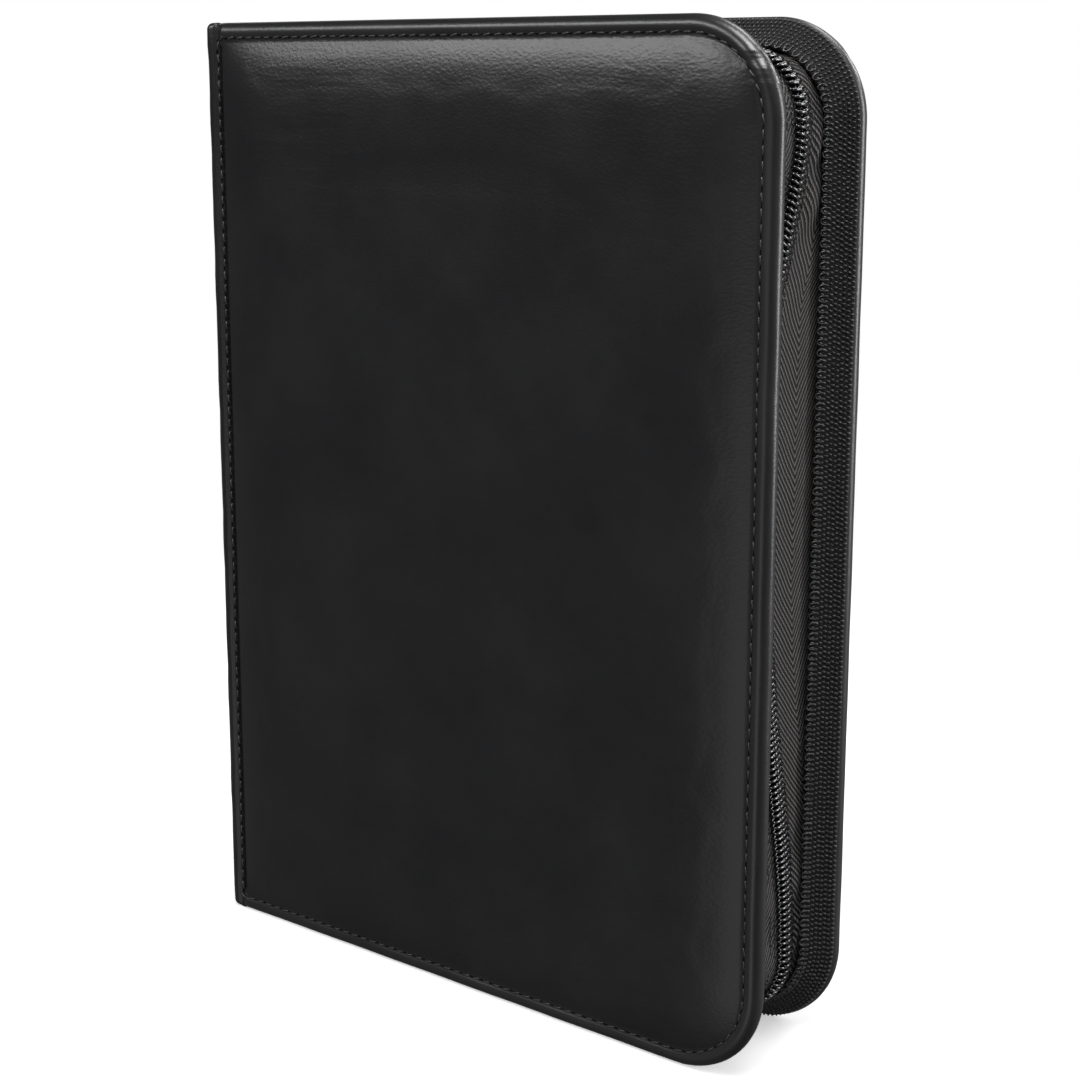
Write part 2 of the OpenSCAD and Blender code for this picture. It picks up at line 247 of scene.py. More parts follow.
def leatherFinish(name, grain, smoothness, specular):
    look = leatherLook
    material, tree, shader = newFinish(name, look["dark"], smoothness, specular)
    place = coordsOf(tree, "Object")
    long = coordsOf(tree, "Object", look["grainStretch"])
    cloud = noiseAt(tree, place, look["cloudScale"], 4.0, 0.6)
    tint = colorRamp(tree, cloud, [(0.35, look["dark"]), (0.7, look["light"])])
    cells = {"Vector": long, "Scale": 1 / look["grainSize"], "Smoothness": 0.8, "Randomness": 1.0}
    pebble = addNode(tree, "ShaderNodeTexVoronoi", cells, feature="SMOOTH_F1").outputs["Distance"]
    pores = mathNode(tree, "ADD", pebble, noiseAt(tree, long, look["fineScale"], 1.0))
    crease = noiseAt(tree, place, 1 / look["creaseSize"], 5.0, 0.55, 0.4)
    normal = bumpOn(tree, crease, look["creaseStrength"], look["creaseDepth"])
    for middle, reach, turn, stretch, depth in look["folds"]:
        away = vectorNode(tree, "DISTANCE", place, middle)
        share = remap(tree, away, reach, reach * 0.2, curve="SMOOTHSTEP")
        lines = noiseAt(tree, coordsOf(tree, "Object", stretch, (0, turn, 0)), 1.0, 2.0)
        ridges = mathNode(tree, "MULTIPLY", lines, share)
        normal = bumpOn(tree, ridges, look["foldStrength"], depth, normal)
    normal = bumpOn(tree, pores, grain, look["grainDepth"], normal)
    rough = remap(tree, cloud, 0.3, 0.7, smoothness - 0.015, smoothness + 0.02)
    feed(tree, shader, tint, normal, rough)
    return material


def threadFinish(name, color, roughness):
    material, tree, shader = newFinish(name, color, roughness)
    place = coordsOf(tree, "Object", turn=(0.6, 0.4, 0.3))
    twist = {"Vector": place, "Scale": 900.0, "Distortion": 1.5, "Detail": 1.0}
    ply = addNode(tree, "ShaderNodeTexWave", twist).outputs["Fac"]
    # the plies are painted lighter on their crests and darker in the grooves between them: painted shade
    # along the twist
    dark, light = (tuple(c * share for c in color) for share in (0.45, 1.5))
    feed(tree, shader, colorRamp(tree, ply, [(0.2, dark), (0.8, light)]), bumpOn(tree, ply, 0.6, 0.00008))
    return material


# tape cloth: a herringbone whose lines lean one way near the chain and the other way beyond it; its ridges
# are painted pale and the grooves near black, painted highlight and shade over the weave
twillLook = {
    # grooves near black, ridges pale: painted shade and painted highlight over the twill
    "ridgeLightAndShade": [(0.3, (0.001, 0.001, 0.001)), (0.6, (0.0062, 0.0059, 0.0057)), (0.88, (0.074, 0.068, 0.064))],
    "turnAt": 13.5,
    "slant": 1.43,
    "ridgeTurns": 3.22,
    "yarnTurns": 11.0,
    "yarnShare": 0.35,
    "depth": 0.0003,
}


def tapeFinish(name):
    look = twillLook
    material, tree, shader = newFinish(name, (0.006, 0.006, 0.0062), 0.75, 0.22, (0.03, 0.45))
    place = coordsOf(tree, "UV", (1000, 1000, 1000))
    parts = partsOf(tree, place)
    folded = mathNode(tree, "PINGPONG", parts["Y"], look["turnAt"])
    along = mathNode(tree, "SUBTRACT", parts["X"], mathNode(tree, "MULTIPLY", folded, look["slant"]))
    ridge = mathNode(tree, "SINE", mathNode(tree, "MULTIPLY", along, look["ridgeTurns"]))
    yarn = mathNode(tree, "SINE", mathNode(tree, "MULTIPLY", parts["Y"], look["yarnTurns"]))
    weave = mathNode(tree, "ADD", ridge, mathNode(tree, "MULTIPLY", yarn, look["yarnShare"]))
    unit = remap(tree, weave, -1 - look["yarnShare"], 1 + look["yarnShare"])
    fuzz = remap(tree, noiseAt(tree, place, 2.2, 3.0), 0.0, 1.0, 0.7, 1.25)
    # painted light and shade: the tone follows the ridge height, pale on the crests and near black in the
    # grooves
    tone = colorRamp(tree, mathNode(tree, "MULTIPLY", unit, fuzz), look["ridgeLightAndShade"])
    feed(tree, shader, tone, bumpOn(tree, unit, 1.0, look["depth"]))
    return material


# cloth with a plain weave whose raised crossings are painted lighter and whose hollows are painted darker:
# painted shade over the weave
def shadedPlainWeave(name, dark, light, pitch, roughness):
    material, tree, shader = newFinish(name, dark, roughness, 0.3, (0.05, 0.5))
    parts = partsOf(tree, coordsOf(tree, "Object", (1 / pitch, 1 / pitch, 1 / pitch)))
    x, y, z = (mathNode(tree, "SINE", mathNode(tree, "MULTIPLY", parts[axis], math.pi)) for axis in "XYZ")
    over = mathNode(tree, "ADD", mathNode(tree, "MULTIPLY", x, z), mathNode(tree, "MULTIPLY", y, z))
    unit = remap(tree, over, -1.0, 1.0)
    # painted shade: the tone follows the weave height, darker in the hollows
    tone = colorRamp(tree, unit, [(0.2, dark), (0.85, light)])
    feed(tree, shader, tone, bumpOn(tree, unit, 0.5, pitch * 0.3))
    return material


def yarnFinish(name, dark, light):
    material, tree, shader = newFinish(name, dark, 0.34, 0.6, (0.05, 0.4))
    place = coordsOf(tree, "Object")
    tone = colorRamp(tree, noiseAt(tree, place, 700.0, 3.0, 0.7), [(0.3, dark), (0.75, light)])
    feed(tree, shader, tone, bumpOn(tree, noiseAt(tree, place, 4200.0, 2.0), 0.5, 0.00008))
    return material


def speckled(name, dark, light, roughness, scale, depth, specular=0.5, metallic=0.0):
    material, tree, shader = newFinish(name, dark, roughness, specular)
    shader.inputs["Metallic"].default_value = metallic
    speck = noiseAt(tree, coordsOf(tree, "Object"), scale, 4.0, 0.6)
    tone = colorRamp(tree, speck, [(0.3, dark), (0.7, light)])
    rough = remap(tree, speck, 0.3, 0.7, roughness - 0.05, roughness + 0.08)
    feed(tree, shader, tone, bumpOn(tree, speck, 0.3, depth), rough)
    return material


# page film: glossy and a little wavy over the pockets, dull and paler along the welds
filmLook = {"dark": (0.006, 0.0063, 0.007), "weld": (0.022, 0.0225, 0.024), "gloss": 0.2, "dull": 0.55}


def filmFinish(name):
    look = filmLook
    material, tree, shader = newFinish(name, look["dark"], look["gloss"])
    weld = addNode(tree, "ShaderNodeAttribute", attribute_name="weld").outputs["Fac"]
    place = coordsOf(tree, "Object")
    tone = colorRamp(tree, weld, [(0.2, look["dark"]), (0.9, look["weld"])])
    rough = remap(tree, weld, 0.0, 1.0, look["gloss"], look["dull"])
    wave = bumpOn(tree, noiseAt(tree, place, 26.0, 2.0), 0.5, 0.0005)
    dull = mathNode(tree, "MULTIPLY", noiseAt(tree, place, 900.0, 2.0), weld)
    feed(tree, shader, tone, bumpOn(tree, dull, 0.5, 0.00008, wave), rough)
    return material


finishes = {
    "leather": leatherFinish("coverLeather", 0.9, 0.29, 0.36),
    "rollLeather": leatherFinish("rollLeather", 0.5, 0.35, 0.6),
    "thread": threadFinish("stitchThread", (0.014, 0.0135, 0.0135), 0.5),
    # near-black finish for the stitch marks: painted shade for the shadow inside the needle holes
    "holeShade": speckled(
        "stitchHoleShade", (0.0006, 0.0006, 0.0006), (0.0012, 0.0012, 0.0012), 0.9, 900.0, 0.00002, 0.1),
    "tape": tapeFinish("tapeHerringboneShaded"),
    "web": shadedPlainWeave("webbingGround", (0.0008, 0.0008, 0.0009), (0.004, 0.004, 0.0041), 0.0006, 0.85),
    "webYarn": yarnFinish("webbingYarn", (0.003, 0.003, 0.0031), (0.023, 0.023, 0.023)),
    "coil": speckled(
        "coilNylon", (0.004, 0.004, 0.0043), (0.008, 0.008, 0.0085), 0.13, 900.0, 0.00001, 0.8),
    "metal": speckled(
        "blackMetal", (0.008, 0.008, 0.0085), (0.018, 0.018, 0.019), 0.4, 500.0, 0.00002, 0.5, 0.7),
    "lining": shadedPlainWeave("liningCloth", (0.005, 0.005, 0.0054), (0.016, 0.016, 0.0165), 0.0005, 0.75),
    "foam": speckled("foamGrey", (0.05, 0.05, 0.053), (0.11, 0.11, 0.115), 0.9, 1200.0, 0.0002, 0.2),
    "board": speckled("greyBoard", (0.2, 0.18, 0.14), (0.3, 0.28, 0.22), 0.85, 700.0, 0.00005, 0.2),
    "page": filmFinish("pageFilm"),
}
print("finishes made:", len(finishes))

# camera, from the lines of the covers in the photograph; millimetres and degrees
view = {
    "azimuth": 38.45,
    "pitch": 11.79,
    "roll": 0.08,
    "distance": 518.8,
    "imagePixels": 1080,
    "focalPixels": 2024.0,
    "sensor": 36.0,
    "target": (8.82, 0.0, 130.7),
    "shift": -0.04,
}


def addCamera():
    azimuth, pitch, roll = (math.radians(view[k]) for k in ("azimuth", "pitch", "roll"))
    level = math.cos(pitch)
    forward = Vector((-math.sin(azimuth) * level, math.cos(azimuth) * level, -math.sin(pitch)))
    right = Vector((math.cos(azimuth), math.sin(azimuth), 0))
    up = right.cross(forward)
    across = right * math.cos(roll) + up * math.sin(roll)
    upright = -right * math.sin(roll) + up * math.cos(roll)
    camera = bpy.data.objects.new("camera", bpy.data.cameras.new("camera"))
    scene.collection.objects.link(camera)
    turned = camera.matrix_world.copy()
    for row in range(3):
        turned[row][0], turned[row][1], turned[row][2] = across[row], upright[row], -forward[row]
    turned.translation = (Vector(view["target"]) - forward * view["distance"]) * mm
    camera.matrix_world = turned
    camera.data.sensor_width = view["sensor"]
    camera.data.lens = view["focalPixels"] / view["imagePixels"] * view["sensor"]
    camera.data.shift_y = view["shift"]
    camera.data.clip_start = 0.01
    scene.camera = camera


addCamera()

# each lamp is a name, a place, what it points at, a size and a power
studio = {
    "floor": (0.7, 0.7, 0.7),
    "floorHalf": 1500.0,
    "floorLevel": -0.2,
    "floorFade": (0.24, 0.62),
    "floorShow": 0.5,
    "backdrop": 1.0,
    "fill": 1.1,
    "glowAim": (0.72, 0.55, 0.42),
    "glow": [(0.0, (0.12, 0.12, 0.125)), (0.2, (0.11, 0.11, 0.115)), (0.5, (0.05, 0.05, 0.052)),
             (0.7, (0.2, 0.2, 0.212)), (1.0, (0.42, 0.42, 0.44))],
    "tableBand": [(0.03, 0.0), (0.17, 1.0), (0.55, 1.0), (0.7, 0.0)],
    "tableStrip": [(0.8, 0.06), (0.94, 0.1), (0.98, 0.4), (0.996, 1.15)],
    "tableCourse": (-0.087, -0.996, 0.0),
    "lamps": [
        ("keyLamp", (-0.68, -1.06, 0.77), (0.0, 0.0, 0.22), (0.9, 0.3), 8.6),
        ("topLamp", (0.34, -0.32, 1.15), (0.06, 0.0, 0.25), (0.55, 0.55), 17.0),
        ("rightLamp", (0.86, 0.46, 0.3), (0.08, 0.0, 0.12), (0.2, 0.7), 6.5),
        ("spineLamp", (-1.1, 0.9, 0.6), (-0.05, 0.0, 0.14), (0.5, 0.7), 1.2),
        ("rearLamp", (0.1, 0.75, 1.35), (0.0, 0.0, 0.2), (0.6, 0.4), 7.0),
        ("backLamp", (0.5, 0.95, 0.85), (0.09, 0.0, 0.14), (0.35, 0.35), 6.0),
    ],
}


# white behind the object, an even fill for what is matt, and a dark room with a pale table for the gloss
def addWorld():
    world = bpy.data.worlds.new("studio")
    scene.world = world
    world.use_nodes = True
    tree = world.node_tree
    tree.nodes.clear()
    sight = addNode(tree, "ShaderNodeTexCoord").outputs["Generated"]
    aim = vectorNode(tree, "DOT_PRODUCT", sight, studio["glowAim"])
    glow = colorRamp(tree, remap(tree, aim, -1.0, 1.0), studio["glow"])
    band, strip = ([(place, (v, v, v)) for place, v in studio[k]] for k in ("tableBand", "tableStrip"))
    depth = mathNode(tree, "MULTIPLY", partsOf(tree, sight)["Z"], -1.0)
    course = vectorNode(tree, "NORMALIZE", vectorNode(tree, "MULTIPLY", sight, (1, 1, 0)))
    ahead = vectorNode(tree, "DOT_PRODUCT", course, studio["tableCourse"])
    table = vectorNode(tree, "MULTIPLY", colorRamp(tree, depth, band), colorRamp(tree, ahead, strip))
    room = vectorNode(tree, "ADD", glow, table)
    white = (1, 1, 1, 1)
    gloss, even, plain = (
        addNode(tree, "ShaderNodeBackground", {"Color": color, "Strength": strength}).outputs[0]
        for color, strength in ((room, 1.0), (white, studio["fill"]), (white, studio["backdrop"])))
    ray = addNode(tree, "ShaderNodeLightPath").outputs
    lit = addNode(tree, "ShaderNodeMixShader", {0: ray["Is Diffuse Ray"], 1: gloss, 2: even})
    seen = addNode(tree, "ShaderNodeMixShader", {0: ray["Is Camera Ray"], 1: lit.outputs[0], 2: plain})
    addNode(tree, "ShaderNodeOutputWorld", {"Surface": seen.outputs[0]})


def addFloor():
    pale, tree, shader = newFinish("paleFloor", studio["floor"], 0.9, 0.1)
    away = vectorNode(tree, "LENGTH", coordsOf(tree, "Object"))
    fade = remap(tree, away, *studio["floorFade"], studio["floorShow"], 0.0, "SMOOTHSTEP")
    tree.links.new(fade, shader.inputs["Alpha"])
    half, level = studio["floorHalf"], studio["floorLevel"]
    corners = [(-half, -half, level), (half, -half, level), (half, half, level), (-half, half, level)]
    floor = makeObject("floor", corners, [(0, 1, 2, 3)], pale)
    floor.visible_glossy = False


def addLamps():
    for name, place, aim, size, power in studio["lamps"]:
        lamp = bpy.data.objects.new(name, bpy.data.lights.new(name, "AREA"))
        scene.collection.objects.link(lamp)
        lamp.data.shape = "RECTANGLE"
        lamp.data.size, lamp.data.size_y = size
        lamp.data.energy = power
        lamp.location = place
        lamp.rotation_euler = (Vector(aim) - Vector(place)).to_track_quat("-Z", "Y").to_euler()


addWorld()
addFloor()
addLamps()
scene.view_settings.view_transform = "Standard"
print("camera and studio set")


# stations along the three zipped edges, from the spine over the top, down the fore edge and back:
# each is a place on the outline (x, z) and the outward direction there
def edgeStations(startX, step=2.0, turns=16):
    stations = []
    count = int((cornerX - startX) / step)
    for i in range(count):
        stations.append((startX + (cornerX - startX) * i / count, case["height"], 0.0, 1.0))
    stations += cornerStations(cornerTop, 90, turns)
    rise = int((cornerTop - cornerLow) / step)
    for i in range(rise):
        stations.append((case["width"] / 2, cornerTop - (cornerTop - cornerLow) * i / rise, 1.0, 0.0))
    stations += cornerStations(cornerLow, 0, turns)
    for i in range(count + 1):
        stations.append((cornerX - (cornerX - startX) * i / count, -case["footCut"], 0.0, -1.0))
    return stations


def cornerStations(middle, startAngle, turns):
    stations = []
    for i in range(turns):
        a = math.radians(startAngle - 90 * i / turns)
        dx, dz = math.cos(a), math.sin(a)
        stations.append((cornerX + case["corner"] * dx, middle + case["corner"] * dz, dx, dz))
    return stations


def chainAt(station):
    x, z, dx, dz = station
    if dx > 0.999999:
        return chainPlace(z)
    return zipper["topY"] if dz > 0 else zipper["lowY"]


def stationPoint(station, out, y):
    x, z, dx, dz = station
    return (x + dx * out, y, z + dz * out)


# cover leather: a puffed panel inside a stitched valley, with a rolled rim on three sides
coverLook = {
    "cell": 1.5,
    "rimSteps": 16,
    "hem": 3.2,
    "hemHeight": 0.02,
    "shoulder": 26.0,
    "rise": 2.4,
    "curve": 3.4,
    "dent": 0.10,
    "pinch": (0.45, 38, 3.5),
    "swell": (0.2, 46, 5.0),
    "spineDrop": 0.1,
    "simFrames": 18,
    "moveCap": 0.06,
    "fill": 0.75,
}
panelCloth = {
    "quality": 5,
    "mass": 0.15,
    "tension_stiffness": 20,
    "compression_stiffness": 20,
    "bending_stiffness": 8.0,
    "shrink_min": -0.0006,
    "use_pressure": True,
    "uniform_pressure_force": 0.1,
    "vertex_group_mass": "stitched",
}


# places of the panel's points: straight columns, then a block that bends round both fore corners
def panelGrid():
    startX = case["coverX"]
    step = coverLook["cell"]
    r = case["corner"] - case["stitchIn"]
    blockCells = int(round(r / step))
    columns = int(round((cornerX - startX) / step))
    middle = int(round((cornerTop - cornerLow) / step))
    xs = [("run", startX + (cornerX - startX) * i / columns) for i in range(columns)]
    xs += [("block", i / blockCells) for i in range(blockCells + 1)]
    zs = [("low", -1 + i / blockCells) for i in range(blockCells)]
    zs += [("mid", cornerLow + (cornerTop - cornerLow) * i / middle) for i in range(middle)]
    zs += [("top", i / blockCells) for i in range(blockCells + 1)]
    points = []
    for zKind, zValue in zs:
        for xKind, xValue in xs:
            v = zValue if zKind != "mid" else 0.0
            u = xValue if xKind == "block" else 0.0
            x = cornerX + r * u * math.sqrt(1 - v * v / 2) if xKind == "block" else xValue
            lift = r * v * math.sqrt(1 - u * u / 2)
            z = zValue if zKind == "mid" else (cornerTop if zKind == "top" else cornerLow) + lift
            points.append((x, z))
    return points, len(zs), len(xs)


# how far a place is from the spine edge of the panel, and from its three stitched rims
def edgeDistances(x, z):
    inset = case["stitchIn"]
    r = case["corner"] - inset
    if x > cornerX and z > cornerTop:
        around = r - math.hypot(x - cornerX, z - cornerTop)
    elif x > cornerX and z < cornerLow:
        around = r - math.hypot(x - cornerX, z - cornerLow)
    else:
        around = min(case["width"] / 2 - inset - x, case["height"] - inset - z, z - inset + case["footCut"])
    return max(0.0, x - case["coverX"]), max(0.0, around)


def panelHeight(x, z):
    rise = coverLook["rise"]
    for away in edgeDistances(x, z):
        t = min(1.0, away / coverLook["shoulder"])
        rise *= 1 - (1 - t) ** coverLook["curve"]
    return case["valley"] + rise


# lets the panel's leather grow a little between its stitches, so that it settles into soft puckers
def settlePanel(heights, flat, rows, columns, border):
    points = [(x, -case["innerFace"] - h, z) for (x, z), h in zip(flat, heights)]
    cloth = makeObject("panelCloth", points, gridFaces(rows, columns))
    group = cloth.vertex_groups.new(name=panelCloth["vertex_group_mass"])
    group.add(border, 1.0, "REPLACE")
    modifier = cloth.modifiers.new("settle", "CLOTH")
    for key, value in panelCloth.items():
        setattr(modifier.settings, key, value)
    modifier.settings.effector_weights.gravity = 0
    modifier.collision_settings.use_collision = False
    modifier.point_cache.frame_start = 1
    modifier.point_cache.frame_end = coverLook["simFrames"]
    for step in range(1, coverLook["simFrames"] + 1):
        scene.frame_set(step)
    settled = cloth.evaluated_get(bpy.context.evaluated_depsgraph_get()).data
    moved = [-v.co.y / mm - case["innerFace"] for v in settled.vertices]
    scene.frame_set(1)
    bpy.data.objects.remove(cloth)
    cap = coverLook["moveCap"]
    limited = [before + cap * math.tanh((after - before) / cap) for before, after in zip(heights, moved)]
    change = [after - before for before, after in zip(heights, limited)]
    print("panel settled: moves", round(min(change), 2), "to", round(max(change), 2), "mm")
    return limited


# the rim's roll from the stitches over to the hem, as inset and height
def rimProfile():
    r = case["rim"]
    end = math.degrees(math.acos((r - case["stitchIn"]) / r))
    steps = coverLook["rimSteps"]
    profile = []
    for i in range(1, steps + 1):
        a = math.radians(end + (-90 - end) * i / steps)
        profile.append((r - r * math.cos(a), r + r * math.sin(a)))
    profile.append((coverLook["hem"], coverLook["hemHeight"]))
    return profile


def borderLoop(rows, columns):
    loop = list(range(columns))
    loop += [i * columns + columns - 1 for i in range(1, rows)]
    loop += [(rows - 1) * columns + j for j in range(columns - 2, -1, -1)]
    loop += [i * columns for i in range(rows - 2, 0, -1)]
    return loop


# outward direction at a place on the panel's border; none along the spine edge
def outwardAt(x, z):
    slack = 1e-6
    for middle, beyond in ((cornerTop, z >= cornerTop - slack), (cornerLow, z <= cornerLow + slack)):
        if beyond and x >= cornerX - slack:
            return Vector((x - cornerX, z - middle)).normalized()
    if z >= case["height"] - case["stitchIn"] - slack:
        return Vector((0, 1))
    if z <= case["stitchIn"] - case["footCut"] + slack:
        return Vector((0, -1))
    return Vector((1, 0)) if x >= cornerX else Vector((0, 0))


# small dents of the handled rim, deepest at the upper fore corner
def rimDent(x, z):
    wave = coverLook["dent"] * math.sin(z * 0.21 + x * 0.13) * math.sin(z * 0.047 - x * 0.09 + 1.3)
    if x > cornerX and z > cornerTop:
        a = math.degrees(math.atan2(z - cornerTop, x - cornerX))
        pinch, swell = (size * math.exp(-((a - at) / reach) ** 2)
                        for size, at, reach in (coverLook["pinch"], coverLook["swell"]))
        wave -= pinch - swell
    return wave


# points as place along x, height off the inner face and place along z
def coverLeather():
    flat, rows, columns = panelGrid()
    loop = borderLoop(rows, columns)
    heights = [panelHeight(x, z) for x, z in flat]
    heights = settlePanel(heights, flat, rows, columns, loop)
    points = [(x, h, z) for (x, z), h in zip(flat, heights)]
    faces = gridFaces(rows, columns)
    n = len(loop)
    previous = loop
    for inset, height in rimProfile():
        current = list(range(len(points), len(points) + n))
        out = case["stitchIn"] - inset
        dentShare = max(0.0, min(1.0, height / 3 - 0.4)) * min(1.0, (4.2 - inset) / 1.5)
        for index in loop:
            x, z = flat[index]
            way = outwardAt(x, z)
            if way.length == 0:
                lift = min(height, case["valley"] - coverLook["spineDrop"])
            else:
                lift = height + rimDent(x, z) * dentShare
            points.append((x + way.x * out, lift, z + way.y * out))
        for k in range(n):
            after = (k + 1) % n
            faces.append((previous[k], current[k], current[after], previous[after]))
        previous = current
    return points, faces, [flat[i] for i in loop]


leatherPoints, leatherFaces, stitchPath = coverLeather()


def coverPiece(name, side):
    placed = [(x, side * (case["innerFace"] + n), max(z, 0.0)) for x, n, z in leatherPoints]
    obj = makeObject(name, placed, leatherFaces, finishes["leather"])
    obj.data.materials.append(finishes["rollLeather"])
    count = len(leatherFaces)
    panelFaces = count - len(stitchPath) * (coverLook["rimSteps"] + 1)
    obj.data.polygons.foreach_set("material_index", [0 if k < panelFaces else 1 for k in range(count)])
    if obj.data.polygons[count // 3].normal.y * side < 0:
        obj.data.flip_normals()
    return obj


for word, side, body in halves:
    leather = coverPiece(word + "Leather", side)
    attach(leather, body)
    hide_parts(word + "_skin")
print("cover leather:", len(leatherFaces), "faces each")

# spine and crease leather, one strip for each half:
# lead and lap are pairs of an outer and an inner point before and after the crease's roll
spineLook = {
    "endRound": 1.6,
    "endSteps": 5,
    "rows": 60,
    "flatSteps": 8,
    "flatShare": 0.9,
    "thick": 1.0,
    "lead": [((-88.62, -14.55), (-87.75, -14.4)), ((-88.72, -14.98), (-87.5, -14.85))],
    "rollSteps": 16,
    "rollOuter": (140, 307),
    "rollInner": (100, -38),
    "rollSlack": 0.06,
    "dent": 0.10,
    "turnIn": (0.4, 4.0, 2.2),
    "lap": [((-85.3, -19.46), (-85.2, -19.1)), ((-84.45, -19.5), (-84.45, -19.2))],
    "bendFrom": (-0.0893, 0.0160, 0.1),
    "bendTo": (-0.0858, 0.0196, 0.1),
    "replaces": {"front": ("front_crease", "spine_skin"), "back": ("back_crease",)},
}


def creaseProfile():
    look = spineLook
    pairs = []
    for i in range(look["flatSteps"] + 1):
        t = look["flatShare"] * i / look["flatSteps"]
        x, y = case["spineX"] + case["spineSwell"] * t * t, -t * case["innerFace"]
        pairs.append(((x, y), (x + look["thick"], y)))
    pairs += look["lead"]
    steps = look["rollSteps"]
    arcs = ((look["rollOuter"], case["rim"]), (look["rollInner"], case["rim"] - look["rollSlack"]))
    for i in range(steps + 1):
        pair = []
        for (start, end), r in arcs:
            a = math.radians(start + (end - start) * i / steps)
            pair.append((case["creaseX"] + r * math.cos(a), -case["creaseY"] + r * math.sin(a)))
        pairs.append(tuple(pair))
    pairs += look["lap"]
    return [pair[0] for pair in pairs], [pair[1] for pair in pairs]


def creaseStrip(name, side):
    outer, inner = creaseProfile()
    ring = outer + inner[::-1]
    m, n = len(outer), len(ring)
    centres = [((x + ring[-1 - j][0]) / 2, (y + ring[-1 - j][1]) / 2) for j, (x, y) in enumerate(ring)]
    height, rounding = case["height"], spineLook["endRound"]
    endSteps, count = spineLook["endSteps"], spineLook["rows"]
    ends = [rounding * (1 - math.cos(math.radians(90 * i / endSteps))) for i in range(endSteps + 1)]
    rows = ends + [rounding + (height - 2 * rounding) * i / count for i in range(1, count)]
    rows += [height - v for v in ends[::-1]]
    size, at, spreadOut = spineLook["turnIn"]
    points = []
    for z in rows:
        end = min(z, height - z)
        pull = rounding - math.sqrt(max(0.0, rounding ** 2 - max(0.0, rounding - end) ** 2))
        for j, (x, y) in enumerate(ring):
            gx, gy = centres[j]
            reach = max(1e-6, math.hypot(x - gx, y - gy))
            share = min(0.85, pull / max(reach, 0.6)) if reach > 0.05 else 0.0
            change = 0.0
            if 8 < j < m - 2:  # handling dents
                change += spineLook["dent"] * math.sin(z * 0.35 + 2.1 * x) * math.sin(z * 0.083 + x)
            if 11 < j < m - 6 and z > height / 2:  # thicker turn-in at the head
                change += size * math.exp(-((end - at) / spreadOut) ** 2)
            px = x + (gx - x) * share + (x - gx) / reach * change
            py = y + (gy - y) * share + (y - gy) / reach * change
            points.append((max(px, case["spineX"]), -side * py, z))
    faces = gridFaces(len(rows), n, closeColumns=True)
    last = (len(rows) - 1) * n
    for j in range(m - 1):
        faces.append((j + 1, j, n - 1 - j, n - 2 - j))
        faces.append((last + j, last + j + 1, last + n - 2 - j, last + n - 1 - j))
    obj = makeObject(name, points, faces, finishes["leather"])
    outwardFaces(obj)
    obj.data.set_sharp_from_angle(angle=math.radians(50))
    return obj


for word, side, body in halves:
    strip = creaseStrip(word + "CreaseLeather", side)
    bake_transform(strip)
    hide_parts(*spineLook["replaces"][word])
print("spine and creases made")

# cloth wrapped over the spine board: it closes the head, the tail and the board's long edges
wrapLook = {"side": 14.35, "outer": -88.1, "inner": -85.0, "low": 0.6, "high": 249.4, "round": 0.5}


def spineWrap():
    look = wrapLook
    r = look["round"]
    inner, outer, half = look["inner"] - r, look["outer"] + r, look["side"] - r
    ring = []
    for cx, cy, start in ((inner, half, 0), (outer, half, 90), (outer, -half, 180), (inner, -half, 270)):
        for step in range(4):
            a = math.radians(start + 30 * step)
            ring.append((cx + r * math.cos(a), cy + r * math.sin(a)))
    n = len(ring)
    middle = (look["inner"] + look["outer"]) / 2
    points = []
    ends = ((0.0, r), (0.3 * r, 0.3 * r), (r, 0.0))
    levels = [(look["low"] + rise, inset) for rise, inset in ends]
    levels += [(look["high"] - rise, inset) for rise, inset in ends[::-1]]
    for z, inset in levels:
        points += [(x + (middle - x) * inset / 1.6, y - math.copysign(inset, y), z) for x, y in ring]
    faces = gridFaces(len(levels), n, closeColumns=True)
    faces.append(tuple(range(n - 1, -1, -1)))
    faces.append(tuple((len(levels) - 1) * n + k for k in range(n)))
    obj = makeObject("spineWrap", points, faces, finishes["lining"])
    obj.data.set_sharp_from_angle(angle=math.radians(45))
    outwardFaces(obj)
    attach(obj, "spine")
    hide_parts("spine_lining")


spineWrap()


def spreadNode(tree, low, high, seed):
    inputs = {2: low, 3: high, "Seed": seed}
    return addNode(tree, "FunctionNodeRandomValue", inputs, data_type="FLOAT").outputs[1]


